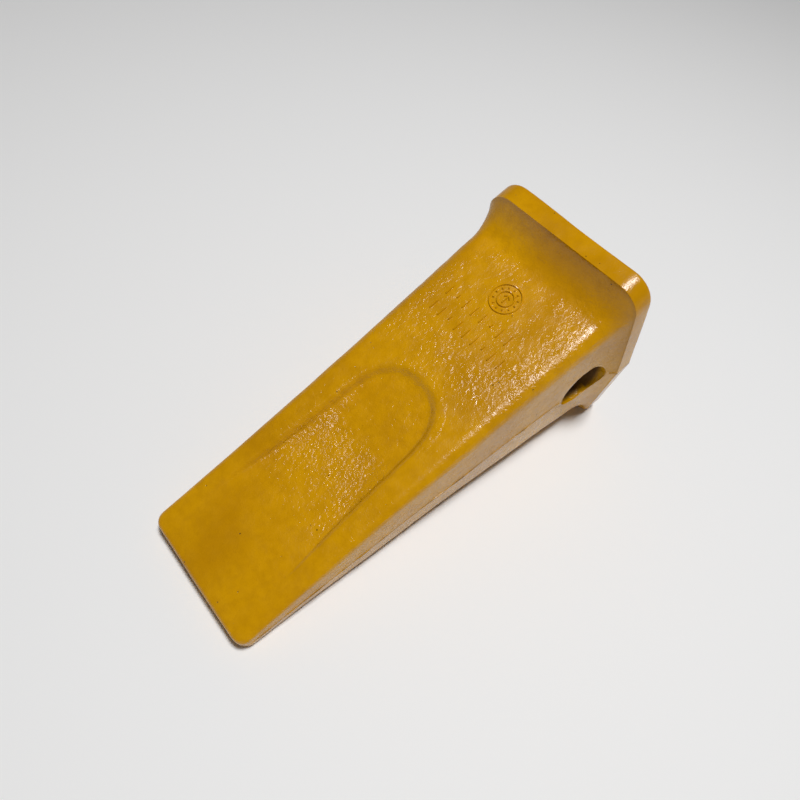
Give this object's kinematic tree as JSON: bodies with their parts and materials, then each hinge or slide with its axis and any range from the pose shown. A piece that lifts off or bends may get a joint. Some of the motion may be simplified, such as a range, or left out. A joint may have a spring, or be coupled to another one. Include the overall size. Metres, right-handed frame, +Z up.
{
  "type": "excavator bucket tooth",
  "caption": "Side-pinned cast bucket tooth with a flared collar, scooped working faces and a tapered nose socket, with its grooved retaining pin and rubber-bonded retainer.",
  "frame": {"origin": "centre of the assembly's bounding box in plan, on the surface that it rests on", "axes": "+X from the cutting edge towards the rear rim, +Y along the retaining pin towards the retainer, +Z up; the tooth lies on its cutting edge and on the collar's lower edge, so its own centre line climbs 12.9 degrees towards +X"},
  "size_m": [0.2684, 0.1164, 0.1259],
  "materials": {
    "casting_paint": "glossy ochre enamel over a cast surface",
    "pin_steel": "dark, lightly oiled",
    "retainer_steel": "yellow-zinc plated",
    "retainer_rubber": "matt",
    "spring_steel": "oil-blackened"
  },
  "bodies": {
    "tooth": {"tooth_casting": "casting_paint"},
    "retainer": {"retainer_shell": "retainer_steel", "retainer_rubber": "retainer_rubber", "lock_ring": "spring_steel"},
    "pin": {"retaining_pin": "pin_steel"}
  },
  "joints": [
    {"name": "retainer_turn", "type": "hinge", "parent": "tooth", "child": "retainer", "pos_m": [0.0883, 0, 0.0563], "axis": [0, 1, 0], "continuous": true},
    {"name": "pin_slide", "type": "slide", "parent": "retainer", "child": "pin", "axis": [0, -1, 0], "range_m": [0, 0.11], "deforming": ["lock_ring"]}
  ]
}
